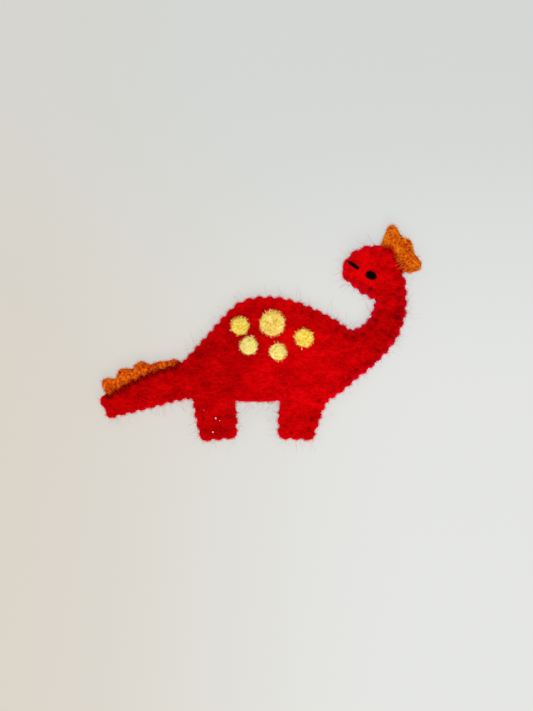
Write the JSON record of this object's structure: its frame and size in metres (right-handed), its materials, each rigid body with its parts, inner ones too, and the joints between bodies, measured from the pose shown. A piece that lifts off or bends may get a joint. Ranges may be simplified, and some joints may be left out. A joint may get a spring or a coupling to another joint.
{
  "type": "finger puppet",
  "caption": "Felt finger puppet in the shape of a long-necked dinosaur: face and back sheets whip-stitched round the edge, open at the belly for the finger.",
  "frame": {"origin": "middle of the footprint, on the surface that the back sheet lies on", "axes": "+X from the tail to the neck, +Y from the feet to the back, +Z out of the face side"},
  "size_m": [0.1152, 0.078, 0.0144],
  "materials": {
    "red_felt": "matte red wool felt with a short fuzz",
    "red_thread": "matte red sewing thread",
    "orange_felt": "matte orange felt, flecked darker",
    "yellow_felt": "matte yellow felt with frayed edges",
    "black_thread": "black embroidery thread with a slight sheen"
  },
  "bodies": {
    "root": {"back_panel": "red_felt", "front_panel": "red_felt", "edge_thread": "red_thread", "head_crest": "orange_felt", "tail_frill": "orange_felt", "spot_rump": "yellow_felt", "spot_back": "yellow_felt", "spot_shoulder": "yellow_felt", "spot_flank_rear": "yellow_felt", "spot_flank_front": "yellow_felt", "eye": "black_thread", "mouth": "black_thread"}
  },
  "joints": []
}
